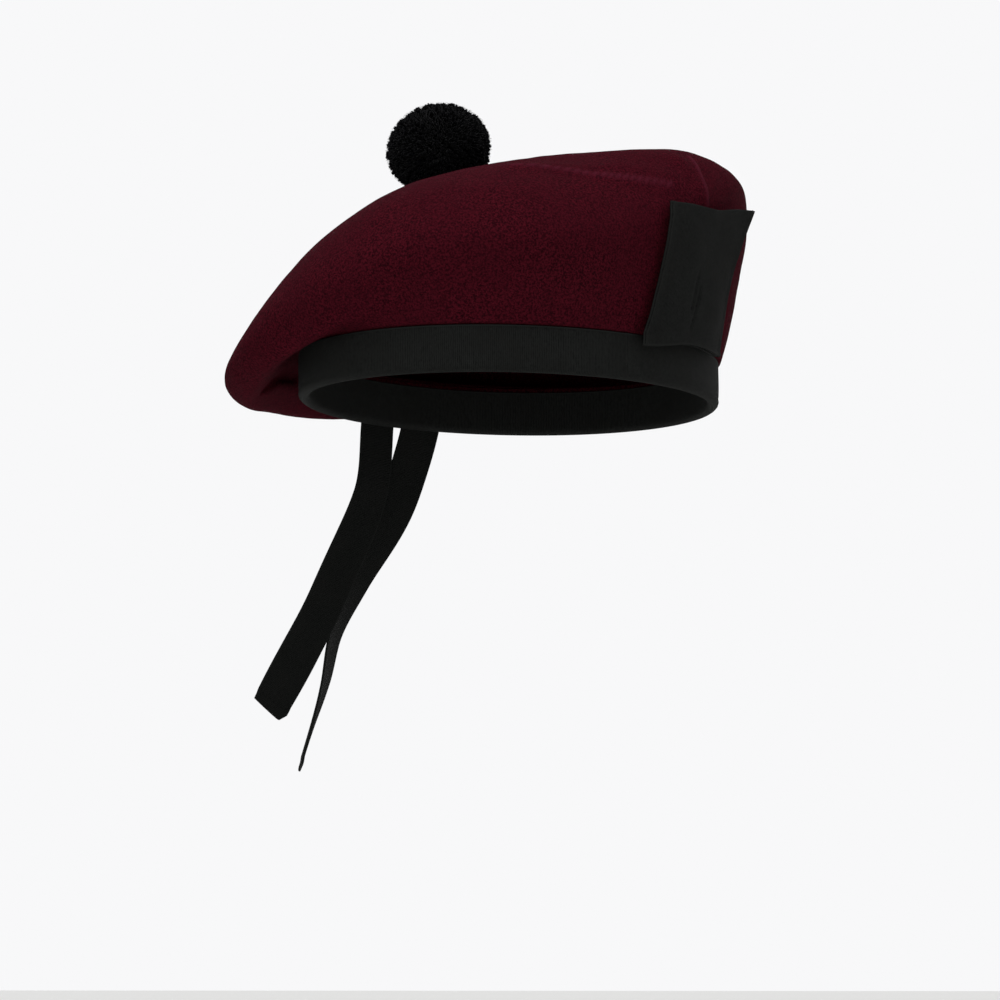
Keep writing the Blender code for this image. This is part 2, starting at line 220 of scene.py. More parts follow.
def cloth(name, points, flat, closed, wall, offset):
    """Cloth on a grid of points. flat is the same grid laid out flat, kept as UV in metres."""
    rows, columns = points.shape[:2]
    faces, corners = [], []
    for i in range(rows - 1):
        for j in range(columns if closed else columns - 1):
            k = (j + 1) % columns
            low, high = i * columns, (i + 1) * columns
            faces.append((low + j, low + k, high + k, high + j))
            corners += [flat[i, j], flat[i, j + 1], flat[i + 1, j + 1], flat[i + 1, j]]
    mesh = bpy.data.meshes.new(name)
    mesh.from_pydata(points.reshape(-1, 3).tolist(), [], faces)
    mesh.uv_layers.new(name="flat").data.foreach_set("uv", np.array(corners).ravel())
    mesh.shade_smooth()
    piece = bpy.data.objects.new(name, mesh)
    bpy.context.scene.collection.objects.link(piece)
    solidify = piece.modifiers.new("wall", "SOLIDIFY")
    solidify.thickness = wall
    solidify.offset = offset
    solidify.use_even_offset = True
    return piece


def linear(code):
    """An sRGB hex colour as linear RGBA."""
    parts = [int(code[i : i + 2], 16) / 255 for i in (1, 3, 5)]
    return (*[p / 12.92 if p < 0.04045 else ((p + 0.055) / 1.055) ** 2.4 for p in parts], 1.0)


def add(tree, kind, settings=None, links=None):
    """Add a node. settings go to its properties and free inputs, links feed its inputs."""
    made = tree.nodes.new("ShaderNode" + kind)
    for name, value in (settings or {}).items():
        if isinstance(name, str) and hasattr(made, name):
            setattr(made, name, value)
        else:
            made.inputs[name].default_value = value
    for name, source in (links or {}).items():
        tree.links.new(source, made.inputs[name])
    return made


def new_material(name):
    made = bpy.data.materials.new(name)
    made.use_nodes = True
    return made, made.node_tree, made.node_tree.nodes["Principled BSDF"]


def fulled_felt():
    """Wool felt, fulled and brushed: a matted face of short fibres lying every way.

    The eye gets a soft dark wine red, mottled by clumps of a millimetre, with paler stray
    fibres over it and a painted highlight along the sharp folds, where light catches them.
    """
    made, tree, shader = new_material("wool_felt_fulled_and_brushed")
    place = add(tree, "TexCoord").outputs["Object"]
    mm = add(tree, "VectorMath", {"operation": "SCALE", "Scale": 1000.0}, {0: place}).outputs[0]
    broad = add(tree, "TexNoise", {"Scale": 0.045, "Detail": 2.0}, {"Vector": mm})
    clumps = add(tree, "TexNoise", {"Scale": 1.15, "Detail": 4.0, "Roughness": 0.75}, {"Vector": mm})
    grain = add(tree, "TexNoise", {"Scale": 5.5, "Detail": 2.0}, {"Vector": mm})
    # fibres are 0.02 mm thick, and are drawn 0.2 mm thick so that they show
    fibres = None
    for turned in ((0.3, 0.9, 0.2), (1.3, 0.2, 1.1), (0.7, 1.9, 2.1)):
        laid = add(
            tree,
            "Mapping",
            {"Rotation": turned, "Scale": (0.45, 3.2, 3.2)},
            {"Vector": mm},
        )
        hair = add(
            tree,
            "TexNoise",
            {"Scale": 1.0, "Detail": 1.0, "Distortion": 0.8},
            {"Vector": laid.outputs[0]},
        )
        middle = add(tree, "Math", {"operation": "SUBTRACT", 1: 0.5}, {0: hair.outputs[0]})
        away = add(tree, "Math", {"operation": "ABSOLUTE"}, {0: middle.outputs[0]})
        line = add(
            tree,
            "MapRange",
            {"From Min": 0.0, "From Max": 0.035, "To Min": 1.0, "To Max": 0.0},
            {"Value": away.outputs[0]},
        )
        if fibres is None:
            fibres = line.outputs[0]
        else:
            both = add(tree, "Math", {"operation": "MAXIMUM"}, {0: fibres, 1: line.outputs[0]})
            fibres = both.outputs[0]
    depth = add(
        tree,
        "MapRange",
        {"From Min": 0.40, "From Max": 0.60},
        {"Value": clumps.outputs[0]},
    ).outputs[0]
    ground = add(
        tree,
        "Mix",
        {"data_type": "RGBA", 6: linear("#150206"), 7: linear("#4a0f1a")},
        {0: depth},
    ).outputs[2]
    patchy = add(
        tree,
        "MapRange",
        {"From Min": 0.35, "From Max": 0.65, "To Min": 0.0, "To Max": 0.35},
        {"Value": broad.outputs[0]},
    ).outputs[0]
    worn = add(
        tree,
        "Mix",
        {"data_type": "RGBA", 7: linear("#340912")},
        {0: patchy, 6: ground},
    ).outputs[2]
    stray = add(tree, "Math", {"operation": "MULTIPLY", 1: 0.30}, {0: fibres}).outputs[0]
    haired = add(
        tree,
        "Mix",
        {"data_type": "RGBA", 7: linear("#4a1420")},
        {0: stray, 6: worn},
    ).outputs[2]
    # painted highlight: a paler colour laid along the sharp folds, where light catches the fold
    highlight_amount = add(tree, "Attribute", {"attribute_name": "fold_highlight"}).outputs["Fac"]
    painted_highlight = add(tree, "Math", {"operation": "MULTIPLY", 1: 0.75}, {0: highlight_amount}).outputs[0]
    colour = add(
        tree,
        "Mix",
        {"data_type": "RGBA", 7: linear("#521c2a")},
        {0: painted_highlight, 6: haired},
    ).outputs[2]
    fine = add(tree, "Math", {"operation": "MULTIPLY", 1: 0.4}, {0: grain.outputs[0]}).outputs[0]
    lumps = add(tree, "Math", {"operation": "ADD"}, {0: clumps.outputs[0], 1: fine}).outputs[0]
    raised = add(tree, "Math", {"operation": "MULTIPLY", 1: 0.35}, {0: fibres}).outputs[0]
    height = add(tree, "Math", {"operation": "ADD"}, {0: lumps, 1: raised}).outputs[0]
    bump = add(tree, "Bump", {"Strength": 1.0, "Distance": 0.0005}, {"Height": height})
    tree.links.new(colour, shader.inputs["Base Color"])
    tree.links.new(bump.outputs[0], shader.inputs["Normal"])
    shader.inputs["Roughness"].default_value = 0.95
    shader.inputs["Specular IOR Level"].default_value = 0.01
    shader.inputs["Sheen Weight"].default_value = 0.012
    shader.inputs["Sheen Roughness"].default_value = 0.5
    shader.inputs["Sheen Tint"].default_value = linear("#c06070")
    return made


crown_turns = [360.0 * i / AROUND for i in range(AROUND)]
columns = []
for turn in crown_turns:
    foot = rim_point(turn, FELT_OUTSET)
    foot[2] = FOLD_HEIGHT
    section = plain_section(turn)
    leg = [foot + (section[0] - foot) * step / LEG_ROWS for step in range(LEG_ROWS)]
    columns.append([*leg, *section])
crown_points = np.array(columns).transpose(1, 0, 2)

# The felt lifts along its folds and waves a little, but keeps still at the band and seat
lift = np.zeros(crown_points.shape[:2])
for line, rise, reach in BROAD_FOLDS:
    lift += rise * np.exp(-((distance_to_line(crown_points, line) / reach) ** 2))
# where the sharp folds run, kept as the mask of the felt's painted highlight along them
fold_highlight = np.zeros(crown_points.shape[:2])
for line, rise in SHARP_FOLDS:
    near = np.exp(-((distance_to_line(crown_points, line) / SHARP_SPREAD) ** 2))
    lift += rise * near
    fold_highlight = np.maximum(fold_highlight, near)
rows_up = np.arange(len(crown_points)) - LEG_ROWS
free = np.clip((rows_up - SPAN_STEPS * 0.7) / (SPAN_STEPS * 0.6), 0, 1)
free *= np.clip((len(rows_up) - LEG_ROWS - 1 - rows_up) / SPAN_STEPS, 0, 1)
for rise, size, seed in FELT_WAVES:
    lift += rise * ripple(crown_points, size, seed)
lift *= free[:, None]
crown_middle = SEAT_CENTRE * (0, 0, 0.5)
away = crown_points - crown_middle
away /= np.linalg.norm(away, axis=2, keepdims=True)
crown_points = crown_points + away * lift[..., None]

seat_rows = []
for share in SEAT_SHARES:
    seat_rows.append(SEAT_CENTRE + (crown_points[-1] - SEAT_CENTRE) * share)
crown_points = np.concatenate([crown_points, seat_rows])
fold_highlight = np.concatenate([fold_highlight, np.zeros((len(SEAT_SHARES), AROUND))])
around = np.arange(AROUND + 1) / AROUND * CROWN_ROUND
upward = np.arange(len(crown_points)) * CROWN_ROW_RISE
crown_flat = np.stack(np.meshgrid(around, upward), axis=2)
crown = cloth("crown_felt", crown_points, crown_flat, True, FELT_WALL, -1.0)
# the sharp folds' mask goes to the felt, which paints its highlight with it
crown.data.attributes.new("fold_highlight", "FLOAT", "POINT").data.foreach_set("value", fold_highlight.ravel())
crown.data.materials.append(fulled_felt())
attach(crown, "root")
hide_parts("crown")


# Rim binding
# A woven black ribbon folded round the mouth of the felt, half outside and half inside,
# and sewn through near its upper edges. Its ends lap at the front left, by the cockade.

BAND_AROUND = 400
BAND_JOINT = 322.5
BAND_ROUND = 0.588
LAP_RISE = 0.0005
LAP_SPAN = 5.0
TURN_IN = 0.00018
TURN_IN_HEIGHT = 0.0038
TURN_IN_SPREAD = 0.0006
BAND_WAVE = 0.00006
THREAD_RADIUS = 0.00014
STITCH_RISE = 0.0002
RIB = 0.0007


def woven_ribbon(name, width, light):
    """Black ribbon woven with a raised rib across it and a firm woven edge on each side.

    The eye gets a matt charcoal black with a very fine cross rib, a smoother line along
    each edge that is painted paler as a highlight, and a little pale lint. The real rib is 0.5 mm,
    and is drawn 0.7 mm wide. light is the colour of the ribs' tops and of the painted edge
    highlight, which differs a little from ribbon to ribbon.
    """
    made, tree, shader = new_material(name)
    flat = add(tree, "UVMap", {"uv_map": "flat"}).outputs[0]
    parts = add(tree, "SeparateXYZ", {}, {0: flat})
    along, across = parts.outputs[0], parts.outputs[1]
    place = add(tree, "TexCoord").outputs["Object"]
    mm = add(tree, "VectorMath", {"operation": "SCALE", "Scale": 1000.0}, {0: place}).outputs[0]
    uneven = add(tree, "TexNoise", {"Scale": 0.35, "Detail": 2.0}, {"Vector": mm}).outputs[0]
    drift = add(tree, "Math", {"operation": "MULTIPLY", 1: 0.00035}, {0: uneven}).outputs[0]
    moved = add(tree, "Math", {"operation": "ADD"}, {0: along, 1: drift}).outputs[0]
    angle = add(tree, "Math", {"operation": "MULTIPLY", 1: math.pi / RIB}, {0: moved}).outputs[0]
    wave = add(tree, "Math", {"operation": "SINE"}, {0: angle}).outputs[0]
    rib = add(tree, "Math", {"operation": "ABSOLUTE"}, {0: wave}).outputs[0]
    pick = add(tree, "Math", {"operation": "MULTIPLY", 1: math.pi / 0.0003}, {0: across}).outputs[0]
    warp = add(tree, "Math", {"operation": "SINE"}, {0: pick}).outputs[0]
    warp = add(tree, "Math", {"operation": "ABSOLUTE"}, {0: warp}).outputs[0]
    warp = add(tree, "Math", {"operation": "MULTIPLY", 1: 0.35}, {0: warp}).outputs[0]
    weave = add(tree, "Math", {"operation": "ADD"}, {0: rib, 1: warp}).outputs[0]
    centred = add(tree, "Math", {"operation": "SUBTRACT", 1: width / 2}, {0: across}).outputs[0]
    centred = add(tree, "Math", {"operation": "ABSOLUTE"}, {0: centred}).outputs[0]
    # the woven edges, which get a firmer bump and a painted highlight
    edge = add(
        tree,
        "MapRange",
        {"From Min": width / 2 - 0.0008, "From Max": width / 2 - 0.0005},
        {"Value": centred},
    ).outputs[0]
    fibre = add(tree, "TexNoise", {"Scale": 0.75, "Detail": 4.0, "Roughness": 0.7}, {"Vector": mm})
    fibre = fibre.outputs[0]
    firm = add(tree, "Mix", {"data_type": "FLOAT", 3: 1.25}, {0: edge, 2: weave}).outputs[0]
    height = add(
        tree,
        "Math",
        {"operation": "MULTIPLY_ADD", 1: 0.5},
        {0: fibre, 2: firm},
    ).outputs[0]
    bump = add(tree, "Bump", {"Strength": 0.9, "Distance": 0.00022}, {"Height": height})
    mixed = add(tree, "Mix", {"data_type": "FLOAT", 0: 0.7}, {2: weave, 3: fibre}).outputs[0]
    tone = add(
        tree,
        "MapRange",
        {"From Min": 0.42, "From Max": 0.62},
        {"Value": mixed},
    ).outputs[0]
    ground = add(
        tree,
        "Mix",
        {"data_type": "RGBA", 6: linear("#030404"), 7: linear(light)},
        {0: tone},
    ).outputs[2]
    shade = add(tree, "TexNoise", {"Scale": 0.06, "Detail": 3.0}, {"Vector": mm}).outputs[0]
    shade = add(
        tree,
        "MapRange",
        {"From Min": 0.35, "From Max": 0.65, "To Min": 0.0, "To Max": 0.5},
        {"Value": shade},
    ).outputs[0]
    faded = add(
        tree,
        "Mix",
        {"data_type": "RGBA", 7: linear("#121211")},
        {0: shade, 6: ground},
    ).outputs[2]
    speck = add(tree, "TexNoise", {"Scale": 1.7, "Detail": 1.0}, {"Vector": mm}).outputs[0]
    speck = add(
        tree,
        "MapRange",
        {"From Min": 0.76, "From Max": 0.80, "To Min": 0.0, "To Max": 0.5},
        {"Value": speck},
    ).outputs[0]
    colour = add(
        tree,
        "Mix",
        {"data_type": "RGBA", 7: linear("#2e2e2e")},
        {0: speck, 6: faded},
    ).outputs[2]
    # painted highlight: each woven edge takes the paler light colour, where light catches the edge
    colour = add(
        tree,
        "Mix",
        {"data_type": "RGBA", 7: linear(light)},
        {0: edge, 6: colour},
    ).outputs[2]
    tree.links.new(colour, shader.inputs["Base Color"])
    tree.links.new(bump.outputs[0], shader.inputs["Normal"])
    shader.inputs["Roughness"].default_value = 0.8
    shader.inputs["Specular IOR Level"].default_value = 0.035
    return made


def soften_edges(piece):
    """Round the cut and woven edges of a thickened ribbon."""
    bevel = piece.modifiers.new("soft_edge", "BEVEL")
    bevel.width = 0.0003
    bevel.segments = 2
    bevel.limit_method = "ANGLE"
    bevel.angle_limit = math.radians(50)


def strands(name, paths, radii, sides):
    """One mesh of round strands, each swept along its own path. UV runs along and around."""
    paths = np.asarray(paths, dtype=float)
    count, stops = paths.shape[:2]
    radii = np.broadcast_to(radii, (count, stops))
    run = np.gradient(paths, axis=1)
    run /= np.linalg.norm(run, axis=2, keepdims=True)
    upright = np.abs(run[:, :1, 2:]) < 0.8
    helper = np.where(upright, (0.0, 0.0, 1.0), (1.0, 0.0, 0.0))
    side = np.cross(run, helper)
    side /= np.linalg.norm(side, axis=2, keepdims=True)
    front = np.cross(side, run)
    angle = 2 * math.pi * np.arange(sides) / sides
    ring = np.cos(angle)[:, None] * side[:, :, None] + np.sin(angle)[:, None] * front[:, :, None]
    points = paths[:, :, None] + ring * radii[:, :, None, None]
    faces, corners = [], []
    for strand in range(count):
        for stop in range(stops - 1):
            low = (strand * stops + stop) * sides
            for i in range(sides):
                j = (i + 1) % sides
                faces.append((low + j, low + i, low + sides + i, low + sides + j))
                near, far = stop / (stops - 1), (stop + 1) / (stops - 1)
                corners += [(near, i + 1), (near, i), (far, i), (far, i + 1)]
        first = strand * stops * sides
        last = first + (stops - 1) * sides
        faces.append(tuple(range(first, first + sides)))
        corners += [(0.0, 0.0)] * sides
        faces.append(tuple(range(last + sides - 1, last - 1, -1)))
        corners += [(1.0, 0.0)] * sides
    mesh = bpy.data.meshes.new(name)
    mesh.from_pydata(points.reshape(-1, 3).tolist(), [], faces)
    mesh.uv_layers.new(name="flat").data.foreach_set("uv", np.array(corners).ravel())
    mesh.shade_smooth()
    piece = bpy.data.objects.new(name, mesh)
    bpy.context.scene.collection.objects.link(piece)
    return piece


def stitch_path(start, end, out, rise):
    """One stitch that dips into the cloth at both ends and stands proud in between."""
    path = []
    for share in (0.0, 0.12, 0.35, 0.65, 0.88, 1.0):
        arch = rise * (1.0 - (2 * share - 1) ** 4) - 0.00025
        path.append(start + (end - start) * share + out * arch)
    return path


def sewing_thread():
    """Black sewing thread, spun and doubled. The eye gets a slight gleam on each stitch."""
    made, tree, shader = new_material("sewing_thread_spun_and_doubled")
    flat = add(tree, "UVMap", {"uv_map": "flat"}).outputs[0]
    parts = add(tree, "SeparateXYZ", {}, {0: flat})
    turns_on = add(tree, "Math", {"operation": "MULTIPLY", 1: 7.0}, {0: parts.outputs[0]})
    slant = add(tree, "Math", {"operation": "ADD"}, {0: turns_on.outputs[0], 1: parts.outputs[1]})
    angle = add(tree, "Math", {"operation": "MULTIPLY", 1: math.pi}, {0: slant.outputs[0]})
    wave = add(tree, "Math", {"operation": "SINE"}, {0: angle.outputs[0]})
    ply = add(tree, "Math", {"operation": "ABSOLUTE"}, {0: wave.outputs[0]}).outputs[0]
    colour = add(
        tree,
        "Mix",
        {"data_type": "RGBA", 6: linear("#010101"), 7: linear("#060606")},
        {0: ply},
    ).outputs[2]
    bump = add(tree, "Bump", {"Strength": 0.6, "Distance": 0.00008}, {"Height": ply})
    tree.links.new(colour, shader.inputs["Base Color"])
    tree.links.new(bump.outputs[0], shader.inputs["Normal"])
    shader.inputs["Roughness"].default_value = 0.6
    shader.inputs["Specular IOR Level"].default_value = 0.06
    return made


band_outer = BAND_OUTSET - RIBBON_WALL / 2
band_inner = RIBBON_WALL / 2
stations = []
for step in range(11):
    stations.append((band_inner, BAND_HEIGHT + (FOLD_HEIGHT - BAND_HEIGHT) * step / 11))
for step in range(9):
    angle = math.pi * (1 - step / 8)
    pressed = math.copysign(abs(math.cos(angle)) ** 1.5, math.cos(angle))
    across = (band_outer + band_inner) / 2 + FOLD_RADIUS * pressed
    stations.append((across, FOLD_HEIGHT - FOLD_RADIUS * math.sin(angle)))
for step in range(1, 13):
    stations.append((band_outer, FOLD_HEIGHT + (BAND_HEIGHT - FOLD_HEIGHT) * step / 12))
stations = np.array(stations)
run_across = np.append(0, np.cumsum(np.linalg.norm(np.diff(stations, axis=0), axis=1)))
BAND_RIBBON_WIDTH = run_across[-1]

band_points = np.zeros((len(stations), BAND_AROUND, 3))
for i in range(BAND_AROUND):
    turn = 360.0 * i / BAND_AROUND
    past_joint = (turn - BAND_JOINT) % 360.0
    lap = LAP_RISE * max(0.0, 1 - past_joint / LAP_SPAN)
    for row, (outset, height) in enumerate(stations):
        outside = outset > band_outer - 0.0002 and height > FOLD_HEIGHT
        # the outer half is drawn in slightly where it folds under, and laps at the joint
        if outside:
            drawn_in = TURN_IN * math.exp(-(((height - TURN_IN_HEIGHT) / TURN_IN_SPREAD) ** 2))
            wave = BAND_WAVE * math.sin(math.radians(turn) * 9 + height * 400)
            outset += lap + wave - drawn_in
        band_points[row, i] = rim_point(turn, outset) + (0, 0, height)
around = np.arange(BAND_AROUND + 1) / BAND_AROUND * BAND_ROUND
band_flat = np.stack(np.meshgrid(around, run_across), axis=2)
band = cloth("rim_ribbon", band_points, band_flat, True, RIBBON_WALL, 0.0)
soften_edges(band)
rim_grosgrain = woven_ribbon("grosgrain_rim_folded_and_pressed", BAND_RIBBON_WIDTH, "#181918")
band.data.materials.append(rim_grosgrain)

# small stitches near the upper edge, set 6 mm apart, catch the ribbon to the felt
stitches = []
for i in range(100):
    turn = 360.0 * i / 100 + 1.0
    start = rim_point(turn, BAND_OUTSET) + (0, 0, BAND_HEIGHT - 0.0012)
    end = rim_point(turn + 1.0, BAND_OUTSET) + (0, 0, BAND_HEIGHT - 0.0013)
    stitches.append(stitch_path(start, end, direction(turn), STITCH_RISE))
band_thread = strands("rim_stitches", stitches, THREAD_RADIUS, 6)
thread_look = sewing_thread()
band_thread.data.materials.append(thread_look)
for piece in (band, band_thread):
    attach(piece, "root")
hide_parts("headband")


# Cockade
# A wide ribbon bent into a flat upright loop, open at its top and foot, on the wearer's
# left. Two rows of stitches down its middle hold its layers to the crown, its foot laps
# the rim's ribbon and its upper back corner stands off.

COCKADE_WIDTH = 0.062
COCKADE_HEIGHT = 0.059
COCKADE_DEPTH = 0.0036
COCKADE_TURN = -11.0
COCKADE_TILT = math.tan(math.radians(5.0))
COCKADE_FOOT = BAND_HEIGHT - 0.0022
COCKADE_PEEL = 0.005
COCKADE_GAP = 0.0009
COCKADE_WAIST = 0.0003
COCKADE_DIP = 0.0020
COCKADE_ARCH = 0.0014
COCKADE_SAG = 0.0018
SAG_START = 0.65
COCKADE_CURL = 0.0014
CURL_SHARE = 0.10
COCKADE_BEND = BAND_HEIGHT + 0.0018
COCKADE_LEAN = 0.0035
LEAN_ABOUT = 0.71
PINCH_SHARE = 0.30
PINCH_START = 0.06
PINCH_SPAN = 0.86
MIDDLE_SHARE = 0.45
COCKADE_FULLNESS = 0.0004
COCKADE_THREAD = 0.0003
LOOP = 2 * COCKADE_WIDTH + 0.006

# each row of stitches: its place across the ribbon, and where it starts and ends upwards
STITCH_ROWS = ((0.365, 0.26, 0.52), (0.415, 0.12, 0.42))
STITCH_COUNT = 6
STITCH_SHARE = 0.66
SEWN_DEPTH = 0.0006
SEWN_SPREAD = 0.016

side_rows = slice(LEG_ROWS, LEG_ROWS + EDGE_GUIDE * SPAN_STEPS + 1)
side_heights = crown_points[side_rows, :, 2]
side_radii = np.linalg.norm(crown_points[side_rows, :, :2], axis=2)


def wall_radius(turn, height):
    """How far out the band or the crown's side reaches at a turn and height."""
    place = (turn % 360.0) / 360.0 * AROUND
    low = int(place) % AROUND
    sides = []
    for column in (low, (low + 1) % AROUND):
        sides.append(np.interp(height, side_heights[:, column], side_radii[:, column]))
    share = place - int(place)
    felt = sides[0] * (1 - share) + sides[1] * share
    return max(rim_radius(turn, BAND_OUTSET), felt)


def cockade_place(across, up, layer):
    """A point of the cockade, on its back layer at 0 or its front layer at 1."""
    aside = (across - 0.5) * COCKADE_WIDTH
    if across > 0.5:
        aside *= 1 - PINCH_SHARE * math.sin(math.pi * (PINCH_START + PINCH_SPAN * up))
    aside += COCKADE_LEAN * (up - LEAN_ABOUT)
    off_middle = across - MIDDLE_SHARE
    dip = COCKADE_DIP * math.exp(-((off_middle / 0.26) ** 2)) * up**3
    dip -= COCKADE_ARCH * math.exp(-((off_middle / 0.22) ** 2)) * (1 - up) ** 6
    dip += COCKADE_SAG * max(0.0, across - SAG_START) / (1 - SAG_START) * (1 - up) ** 6
    height = COCKADE_FOOT + COCKADE_HEIGHT * up + aside * COCKADE_TILT
    turn = COCKADE_TURN + math.degrees(aside / wall_radius(COCKADE_TURN, height))
    peel = COCKADE_PEEL * (max(0.0, 2 * across - 1) * up) ** 2
    peel += COCKADE_CURL * max(0.0, 1 - across / CURL_SHARE) ** 2
    side = wall_radius(turn, max(height, COCKADE_BEND))
    base = side + COCKADE_GAP + RIBBON_WALL / 2 + peel
    waist = COCKADE_WAIST * math.exp(-(((across - 0.5) / 0.12) ** 2))
    fold = math.sin(math.pi * min(max(across, 0.06), 0.94)) ** 0.35
    depth = (COCKADE_DEPTH - RIBBON_WALL - waist) * fold
    full = COCKADE_FULLNESS * math.sin(math.pi * min(across / 0.4, 1.0)) * (0.4 + 0.6 * up)
    sewn = 0.0
    for row, low, high in STITCH_ROWS:
        inside = min(max((up - low + 0.04) / 0.06, 0), 1)
        inside *= min(max((high + 0.04 - up) / 0.06, 0), 1)
        sewn += SEWN_DEPTH * math.exp(-(((across - row) / SEWN_SPREAD) ** 2)) * inside
    out = base + (depth + full - sewn) * layer
    return direction(turn) * out + (0, 0, height - dip)


UP_STEPS = 66
ACROSS_STEPS = 72
cockade_points = []
for k in range(UP_STEPS + 1):
    up = k / UP_STEPS
    back = [cockade_place(i / ACROSS_STEPS, up, 0.0) for i in range(ACROSS_STEPS + 1)]
    front = [cockade_place(i / ACROSS_STEPS, up, 1.0) for i in range(ACROSS_STEPS + 1)]
    # both ends are rounded into a fold between the two layers
    for end, inner in ((0, 1), (-1, -2)):
        middle = (back[end] + front[end]) / 2
        outward = middle - (back[inner] + front[inner]) / 2
        tip = middle + outward / np.linalg.norm(outward) * 0.0007
        if end == 0:
            left_tip = tip
        else:
            right_tip = tip
    cockade_points.append([*back, right_tip, *front[::-1], left_tip])
cockade_points = np.array(cockade_points)
cockade_points += 0.00015 * ripple(cockade_points, 0.006, 5.0)[..., None] * (0.9, -0.3, 0.0)
around = np.linspace(0, LOOP, cockade_points.shape[1] + 1)
upward = np.linspace(0, COCKADE_HEIGHT, UP_STEPS + 1)
cockade_flat = np.stack(np.meshgrid(around, upward), axis=2)
cockade = cloth("cockade_loop", cockade_points, cockade_flat, True, RIBBON_WALL, 0.0)
soften_edges(cockade)
cockade_grosgrain = woven_ribbon("grosgrain_cockade_pressed_flat", COCKADE_HEIGHT, "#151615")
cockade.data.materials.append(cockade_grosgrain)

stitches = []
for row, low, high in STITCH_ROWS:
    for k in range(STITCH_COUNT):
        begin = low + (high - low) * k / STITCH_COUNT
        finish = begin + (high - low) / STITCH_COUNT * STITCH_SHARE
        lean = row + 0.004 * math.sin(k * 2.3)
        start = cockade_place(lean, begin, 1.0)
        end = cockade_place(lean + 0.004, finish, 1.0)
        out = direction(COCKADE_TURN + (row - 0.5) * 40)
        proud = RIBBON_WALL / 2
        path = stitch_path(start, end, out, STITCH_RISE)
        stitches.append([point + out * proud for point in path])
cockade_thread = strands("cockade_stitches", stitches, COCKADE_THREAD, 6)
cockade_thread.data.materials.append(thread_look)
for piece in (cockade, cockade_thread):
    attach(piece, "root")
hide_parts("cockade")


# Pompom
# A ball of black wool yarn, tied through its middle, cut and trimmed short all round.
# It is sewn flat onto the crown's seat, which the tilt of the hat has moved to the right.

POMPOM_RADIUS = 0.0225
FLAT_SHARE = 0.86
POMPOM_SINK = 0.0008
HEART_RADIUS = 0.0187
HEART_UNEVEN = 0.0007
HEART_ROWS = 40
HEART_AROUND = 80
YARN_ROOT = 0.0155
YARN_STOPS = (0.0, 0.35, 0.65, 0.87, 1.0)
YARN_RADII = (0.00045, 0.00055, 0.0006, 0.00055, 0.0003)
FUZZ_RADII = (0.00006, 0.00005, 0.00002)
TUFT_COUNT = 420
YARN_COUNT = 3300
FUZZ_COUNT = 3600

pompom_seat = SEAT_CENTRE + SEAT_NORMAL * CLEARANCE
pompom_centre = pompom_seat + SEAT_NORMAL * (POMPOM_RADIUS * FLAT_SHARE - POMPOM_SINK)
chance = np.random.default_rng(7)


def spread(count):
    """Directions spread evenly over a ball."""
    place = np.arange(count) + 0.5
    height = 1 - 2 * place / count
    ring = np.sqrt(1 - height**2)
    angle = math.pi * (3 - math.sqrt(5)) * place
    return np.stack([ring * np.cos(angle), ring * np.sin(angle), height], axis=1)


def on_seat(points):
    """Flatten the ball, and press whatever would sink into the crown against the seat."""
    height = (points - pompom_centre) @ SEAT_NORMAL
    points = points - SEAT_NORMAL * (height * (1 - FLAT_SHARE))[..., None]
    depth = (points - pompom_seat) @ SEAT_NORMAL
    return points + SEAT_NORMAL * np.maximum(0.0004 - depth, 0)[..., None]


def cut_wool(name):
    """Black wool yarn, spun from crimped fibre and cut. The eye gets a deep soft black
    that turns paler towards the cut end of each strand, a painted highlight where the tips catch
    light."""
    made, tree, shader = new_material(name)
    flat = add(tree, "UVMap", {"uv_map": "flat"}).outputs[0]
    parts = add(tree, "SeparateXYZ", {}, {0: flat})
    place = add(tree, "TexCoord").outputs["Object"]
    mm = add(tree, "VectorMath", {"operation": "SCALE", "Scale": 1000.0}, {0: place}).outputs[0]
    matted = add(tree, "TexNoise", {"Scale": 2.2, "Detail": 3.0}, {"Vector": mm}).outputs[0]
    fibre = add(tree, "TexNoise", {"Scale": 9.0, "Detail": 2.0}, {"Vector": mm}).outputs[0]
    turns_on = add(tree, "Math", {"operation": "MULTIPLY", 1: 6.0}, {0: parts.outputs[0]})
    slant = add(tree, "Math", {"operation": "ADD"}, {0: turns_on.outputs[0], 1: parts.outputs[1]})
    angle = add(tree, "Math", {"operation": "MULTIPLY", 1: 1.26}, {0: slant.outputs[0]})
    ply = add(tree, "Math", {"operation": "SINE"}, {0: angle.outputs[0]}).outputs[0]
    ply = add(tree, "Math", {"operation": "ABSOLUTE"}, {0: ply}).outputs[0]
    # painted highlight: the outer part of each strand is painted paler, where the tips catch light
    tip = add(
        tree,
        "MapRange",
        {"From Min": 0.72, "From Max": 1.0},
        {"Value": parts.outputs[0]},
    ).outputs[0]
    paler = add(tree, "Math", {"operation": "MULTIPLY"}, {0: tip, 1: matted}).outputs[0]
    colour = add(
        tree,
        "Mix",
        {"data_type": "RGBA", 6: linear("#010102"), 7: linear("#0d0d0e")},
        {0: paler},
    ).outputs[2]
    rough = add(
        tree,
        "Math",
        {"operation": "MULTIPLY_ADD", 1: 0.7},
        {0: ply, 2: fibre},
    ).outputs[0]
    bump = add(tree, "Bump", {"Strength": 0.8, "Distance": 0.00015}, {"Height": rough})
    tree.links.new(colour, shader.inputs["Base Color"])
    tree.links.new(bump.outputs[0], shader.inputs["Normal"])
    shader.inputs["Roughness"].default_value = 0.9
    shader.inputs["Specular IOR Level"].default_value = 0.02
    shader.inputs["Sheen Weight"].default_value = 0.06
    shader.inputs["Sheen Roughness"].default_value = 0.3
    return made


